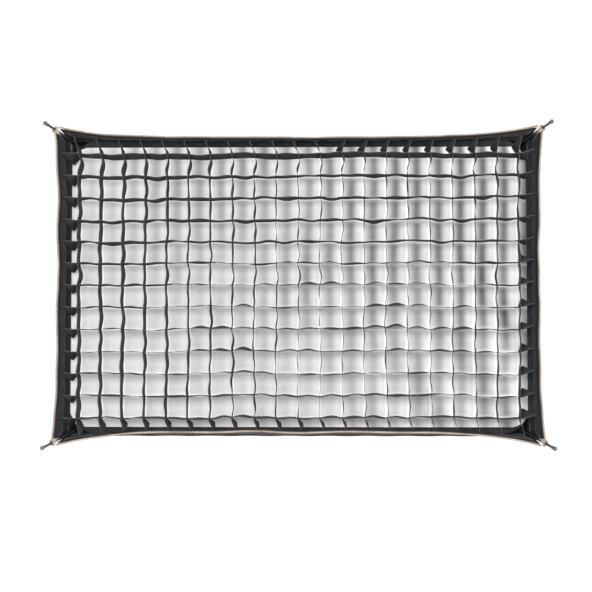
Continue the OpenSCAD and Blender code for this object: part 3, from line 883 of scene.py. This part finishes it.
def build_grid():
    span_x, span_z = (UPRIGHTS - 1) * CELL, (CROSSES - 1) * CELL
    lying = Builder()
    for row in range(CROSSES):
        z = span_z / 2 - row * CELL
        ends = (strip_end("left", z), strip_end("right", z))
        cells = UPRIGHTS - 1
        rear = []
        for i in range(cells):
            x = (i + 0.5) * CELL - span_x / 2
            up = smooth((row - 4.2) / 1.2) * smooth((x + 0.3) / 0.12) * smooth((0.43 - x) / 0.08)
            dip = smooth((5.5 - row) / 2) * (1 if row else 0.3)
            amount = random.uniform(-0.0012, 0.0012)
            amount += up * random.uniform(-0.0005, 0.0068 if row < 10 else 0.004)
            rear.append(amount + dip * random.choice((-0.0042, -0.0016, 0.0, 0.0022)))
        front = [0.4 * r + random.uniform(-0.0020, 0.0022) for r in rear]
        waves = (front, rear, strip_waves(cells, 0.0010, 0.0), strip_waves(cells + 1, 0.0009, 0.0))
        left = (0.002, -0.0165 - 0.004 * random.random(), -0.001, 0.45)
        if row > 4:
            right = (0.0070, 0.0165 + 0.003 * random.random(), 0.0070, 0.24)
        else:
            right = (0.0065, -0.0085 - 0.004 * random.random(), 0.006, 0.5)
        nodes = [crossing_shift(column, row)[1] for column in range(UPRIGHTS)]
        lean = lambda x, row=row: cross_lean(row, x)
        build_strip(lying, 0, z, ends, span_x, row, nodes, waves, (left, right), lean)
    lying_strips = lying.piece("grid_lying_strips", [STRIP], "grid_cloth", ("grid_crosses",))
    thicken(lying_strips, STRIP_T, 0)

    standing = Builder()
    for column in range(UPRIGHTS):
        x = column * CELL - span_x / 2
        ends = (strip_end("bottom", x), strip_end("top", x))
        cells = CROSSES - 1
        rear = []
        bend = []
        for j in range(cells):
            row_from_top = cells - 1 - j
            top_row = 1.0 if row_from_top == 0 else 0.35
            rear.append(random.uniform(-0.0026, 0.0026) + (0.0032 * top_row * smooth((0.3 - x) / 0.3)))
            bend.append(random.uniform(-0.0014, 0.0014) - 0.0024 * (top_row == 1.0))
            if row_from_top == 5:
                rear[-1] += random.choice((-0.0022, 0.0022, 0.0034))
        out = 0.0026 * smooth((x - 0.05) / 0.3)
        front = [0.8 * r + random.uniform(-0.0012, 0.0012) for r in rear]
        waves = (front, rear, bend, strip_waves(cells + 1, 0.001, out))
        fullness = 1 - 0.45 * smooth((x + 0.1) / 0.4)
        bottom = (0.0062, 0.0055 * fullness, 0.011 * fullness, 0.45)
        if x < 0.05:
            top = (-0.0075, 0.0035, -0.010 - 0.003 * random.random(), 0.3)
        else:
            top = (0.0062, -0.0115 - 0.003 * random.random(), 0.001, 0.4)
        nodes = [crossing_shift(column, CROSSES - 1 - j)[0] for j in range(CROSSES)]
        build_strip(standing, 2, x, ends, span_z, column, nodes, waves, (bottom, top), lambda z: 0.0)
    standing_strips = standing.piece("grid_standing_strips", [STRIP], "grid_cloth", ("grid_uprights",))
    thicken(standing_strips, STRIP_T, 0)

    tacks = Builder()
    tack = (Vector((0.0011, 0, 0.0011)), Vector((0.0003, 0, -0.0003)), Vector((0, 0.0005, 0)))
    for row in range(CROSSES):
        for column in range(UPRIGHTS):
            side, rise = crossing_shift(column, row)
            x, z = column * CELL - span_x / 2 + side, span_z / 2 - row * CELL + rise
            tacks.block(Vector((x, STRIP_FRONT - 0.0004, z)), *tack)
    tacks.piece("grid_tacks", [THREAD], "grid_cloth")


def build_rim_band():
    """Loop-faced band inside the lip, with the hook tape under it."""
    for name, inset, node, trim in (
        ("grid_rim_band", 0.0030, "grid_border", 0.006),
        ("lip_hook_band", 0.0014, "lip_tape", 0.003),
    ):
        made = Builder()
        for side in SIDES:
            axis = axis_of(side)

            def place(u, v):
                y = STRIP_FRONT + BAND_DEPTH * v
                reach = lip_at(1 - axis, 1, y) - trim - (0.009 if axis else 0.006)
                return turned((u * reach, y, lip_height(side, u, y) - inset), side)

            size = (0.49 if axis else 0.31, BAND_DEPTH)
            made.grid(place, steps(120), steps(4, 0, 1), size, side in ("top", "left"))
        band = made.piece(name, [BAND], "hook_tape", (node,))
        thicken(band, 0.0009, 0)


# ---------------------------------------------------------------- corners and rod tips
def build_corners():
    tip, way = ROD_TIP, rod_way()
    x1, z1 = lip_at(0, 1, FRONT_Y), lip_at(1, 1, FRONT_Y)
    balls = Builder()
    loops = Builder()
    pockets = Builder()
    hooks = Builder()
    for mx, mz in [(mx, mz) for mz in (1, -1) for mx in (-1, 1)]:
        def place(p):
            return Vector((p.x * mx, p.y, p.z * mz))

        def line(points):
            return [place(p) for p in points]

        # Ball cap: a neck, a ball and a dimpled end
        profile = [(-0.0085, 0.0031), (-0.0082, 0.0034), (-0.003, 0.0034), (-0.0026, 0.0030)]
        profile += [(-0.0022, 0.0033)]
        profile += [(0.001 + 0.0044 * sin(a), 0.0044 * cos(a)) for a in steps(9, -0.72, 1.1)]
        profile += [(0.0046, 0.0016), (0.0036, 0.0013), (0.0034, 0.0002)]
        path = line([tip + way * s for s, _ in profile])
        last = len(profile) - 1
        balls.tube(path, lambda f, p=profile, last=last: p[min(int(round(f * last)), last)][1], 20)
        # Cord loop round the rod, with its knot
        out = Vector((0, -1, 0)).cross(way).normalized()
        up = way.cross(out).normalized()
        centre = tip - way * LOOP_BACK
        ring = [centre + (out * cos(t) + up * sin(t)) * LOOP_R for t in steps(28, 0, 2 * pi)]
        twisted(loops, line(ring), 0.0010, 0.0012, 0.008, 7, 0.0012)
        inward = Vector((-0.76, 0, -0.65))
        knot = centre - way * 0.003 + (inward - way * inward.dot(way)).normalized() * KNOT_OFF
        for k in range(3):
            tilt = k * 1.05
            side = out * cos(tilt) + up * sin(tilt)
            coil = [knot + (way * cos(t) + side * sin(t)) * 0.0030
                    for t in steps(20, 0, 2 * pi)]
            twisted(loops, line(coil), 0.0008, 0.0010, 0.007, 6, 0.0012)
        # Bent wire hook that catches the loop
        eye = centre + Vector((-0.004, -0.003, 0.006))
        hook = [eye + Vector((0.0042 * cos(t), 0, 0.0034 * sin(t))) for t in steps(16, -0.6, 3.9)]
        hooks.tube(line(hook), 0.0007, 8)

        def pocket(u, v, mx=mx, mz=mz):
            """Doubled cloth at the corner, in two wings with a gap for the rod between them."""
            reach = POCKET_WING * (1 - POCKET_TAPER * v)
            tuck = 0.0045 * (1 - abs(u) ** 1.3) * (0.4 + 0.6 * v) * 0.4
            x = x1 + 0.0008 - (reach * u if u > 0 else 0) - tuck
            z = z1 + 0.0008 + (reach * u if u < 0 else 0) - tuck
            sag_x = LIP_SAG[0] * (1 - abs(z / z1) ** LIP_FLARE)
            sag_z = LIP_SAG[1] * (1 - abs(x / x1) ** LIP_FLARE)
            y = FRONT_Y - 0.0012 + POCKET_DEPTH * v
            inward = 0.36 * POCKET_DEPTH * v
            return Vector(((x - sag_x - inward * 0.9) * mx, y, (z - sag_z - inward * 0.7) * mz))

        for low, high in ((-1, -POCKET_GAP), (POCKET_GAP, 1)):
            size = (POCKET_WING, POCKET_DEPTH)
            pockets.grid(pocket, steps(12, low, high), steps(6, 0, 1), size, mx * mz < 0)

        def gusset(u, v, mx=mx, mz=mz):
            """Doubled cloth outside the corner, behind the place where the rod passes out."""
            y = SEAM_Y - GUSSET_DEPTH * v
            full_x, full_z = lip_at(0, 1, y), lip_at(1, 1, y)
            x, z = full_x - max(GUSSET_WING * u, 0), full_z + min(GUSSET_WING * u, 0)
            if u > 0:
                z = lip_at(1, x / full_x, y)
            else:
                x = lip_at(0, z / full_z, y)
            return Vector(((x + 0.0022) * mx, y, (z + 0.0022) * mz))

        pockets.grid(gusset, steps(16), steps(6, 0, 1), (GUSSET_WING, GUSSET_DEPTH), mx * mz < 0)
    balls.piece("rod_ball_caps", [CAP], "cap_plastic", ("rod_tips",))
    loops.piece("corner_cord_loops", [ROPE], "tan_cord", ("corner_loops",))
    hooks.piece("corner_wire_hooks", [STEEL], "turned_steel")
    patch = pockets.piece("corner_pockets", [SHELL], "black_cloth")
    thicken(patch, 0.0011, 0)


# ---------------------------------------------------------------- inside and rear
def build_baffle():
    lo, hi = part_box("inner_baffle")
    half_x, half_z, y0 = hi[0], hi[2], (lo[1] + hi[1]) / 2

    def place(u, v):
        scallop_x = 0.010 * (1 - abs(v) ** 2)
        scallop_z = 0.008 * (1 - abs(u) ** 2)
        belly = 0.004 * ripple(u, 0, v, 3.0, 8) + 0.0015 * ripple(u, 0, v, 12.0, 2)
        y = y0 + belly * (1 - u * u) * (1 - v * v)
        return Vector((u * (half_x - scallop_x), y, v * (half_z - scallop_z)))

    made = Builder()
    made.grid(place, steps(60), steps(40), (half_x, half_z))
    cloth = made.piece("baffle_cloth", [INNER], "white_diffuser", ("inner_baffle",))
    thicken(cloth, 0.0006)

    straps = Builder()
    y = y0 + 0.0014
    v_here = (y - REAR_Y) / (SEAM_Y - REAR_Y)
    for m in (-1, 1):
        for side, axis, spread, inner, size in (
            ("right" if m > 0 else "left", 0, 0.110, half_x - 0.012, 0.07),
            ("top" if m > 0 else "bottom", 2, 0.160, half_z - 0.010, 0.06),
        ):
            for s in (-spread, 0.0, spread):
                beside = s / arc_at(SIDE_ARC if axis else CROWN_ARC, y)
                outer = abs(shell_point(side, beside, v_here, 0.004)[axis])

                def strap(u, v, m=m, s=s, axis=axis, outer=outer, inner=inner):
                    slim = STRAP_HALF * v * (1 - 0.18 * sin(pi * u))
                    p = [s + slim, y + 0.0008 * sin(u * 6), s + slim]
                    p[axis] = m * (inner + (outer - inner) * u)
                    return Vector(p)

                straps.grid(strap, steps(14, 0, 1), steps(4), (size, STRAP_HALF))
    bands = straps.piece("baffle_elastics", [ELASTIC], "white_elastic", ("baffle_straps",))
    thicken(bands, 0.001)


def build_rear():
    """Rear cloth gathered round the ring's neck by an elastic in a ruffled channel."""
    lo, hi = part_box("rear_panel")
    half, y0 = hi[0] + 0.0006, (lo[1] + hi[1]) / 2

    def place(u, v):
        t = u * pi
        c, s = cos(t), sin(t)
        square = min(half / max(abs(c), abs(s)), half * 1.36)
        r = NECK_R + (square - NECK_R) * v
        gather = 0.0011 * sin(GATHERS * t) * (1 - v) ** 1.5
        gather += 0.0016 * ripple(c, s, v, 3.0, 6) * sin(pi * v)
        back = 0.0035 * (1 - smooth(v / 0.35))
        return Vector((r * c, y0 + gather + back, r * s))

    made = Builder()
    made.grid(place, steps(368), steps(16, 0, 1), (0.24, 0.03))
    cloth = made.piece("rear_cloth", [SHELL, SILVER], "black_cloth", ("rear_panel",))
    thicken(cloth, CLOTH, 0)
    ruffle = Builder()
    lo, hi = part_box("collar_elastic")
    y = (lo[1] + hi[1]) / 2
    path = []
    for t in [2 * pi * i / 368 for i in range(368)]:
        r = hi[0] - 0.0018 + 0.0003 * sin(GATHERS * t)
        path.append(Vector((cos(t), 0, sin(t))) * r + Vector((0, y, 0)))
    ruffle.tube(path, lambda f: 0.0017 + 0.0004 * sin(GATHERS * 2 * pi * f), 10, closed=True)
    ruffle.piece("collar_channel", [BINDING], "binding", ("collar_elastic",))


# ---------------------------------------------------------------- CAD parts that stay
def finish_cad_parts():
    looks = {
        "adapter_insert": STEEL, "speed_ring": CAST, "retainer_ring": BLACK_STEEL, "retainer_screws": STEEL,
        "lock_pad": NYLON, "lock_screw": STEEL, "lock_knob": KNOB, "rod_ferrules": STEEL,
        "rod_sleeves": BINDING, "baffle_snaps": STEEL,
    }
    looks.update({f"rod_{v}_{h}": ROD for v in ("top", "bottom") for h in ("left", "right")})
    for o in bpy.data.objects:
        mat = looks.get(o.get("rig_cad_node"))
        if mat:
            o.data.materials.clear()
            o.data.materials.append(mat)


# ---------------------------------------------------------------- stage
def area_light(name, place, target, size, power):
    data = bpy.data.lights.new(name, "AREA")
    data.shape = "RECTANGLE"
    data.size, data.size_y = size
    data.energy = power
    lamp = add_object(name, data)
    lamp.location = place
    lamp.rotation_euler = (Vector(target) - Vector(place)).to_track_quat("-Z", "Y").to_euler()


def build_stage():
    made = bpy.data.meshes.new("floor")
    corners = [(x * FLOOR_HALF, y * FLOOR_HALF, FLOOR_Z) for x, y in ((-1, -1), (1, -1), (1, 1), (-1, 1))]
    made.from_pydata(corners, [], [(0, 1, 2, 3)])
    mat, _ = make_material("floor_pale", (0.97, 0.97, 0.97), 0.9, specular=0.0)
    made.materials.append(mat)
    floor = add_object("floor", made)

    world = bpy.data.worlds.new("studio")
    bpy.context.scene.world = world
    world.use_nodes = True
    bpy.context.scene.view_settings.view_transform = "Standard"
    back = world.node_tree.nodes["Background"]
    back.inputs["Color"].default_value = (1, 1, 1, 1)
    back.inputs["Strength"].default_value = 1.05

    area_light("front_fill", (-0.4, -4.4, 0.5), (0, -0.45, 0), (2.4, 2.0), 150)
    area_light("key_right", (2.6, -3.6, 0.9), (0, -0.45, 0), (1.6, 1.6), 110)

    aim = Vector((0, (FRONT_Y + SEAM_Y) / 2, 0))
    elevation = math.radians(-3)
    cam = bpy.data.cameras.new("camera")
    cam.sensor_width = 36
    cam.lens = 36 / (2 * math.tan(math.radians(VIEW_ANGLE) / 2))
    eye = add_object("camera", cam)
    eye.location = aim + Vector((0.02, -cos(elevation), sin(elevation))) * VIEW_DISTANCE
    eye.rotation_euler = (aim - eye.location).to_track_quat("-Z", "Y").to_euler()
    cam.shift_x = -0.0035
    cam.shift_y = -0.0175
    bpy.context.scene.camera = eye


build_stage()
build_panels()
build_corner_seams()
build_seam_piping()
build_lips()
build_edging()
build_diffuser()
build_rim_band()
build_grid()
build_corners()
build_baffle()
build_rear()
finish_cad_parts()
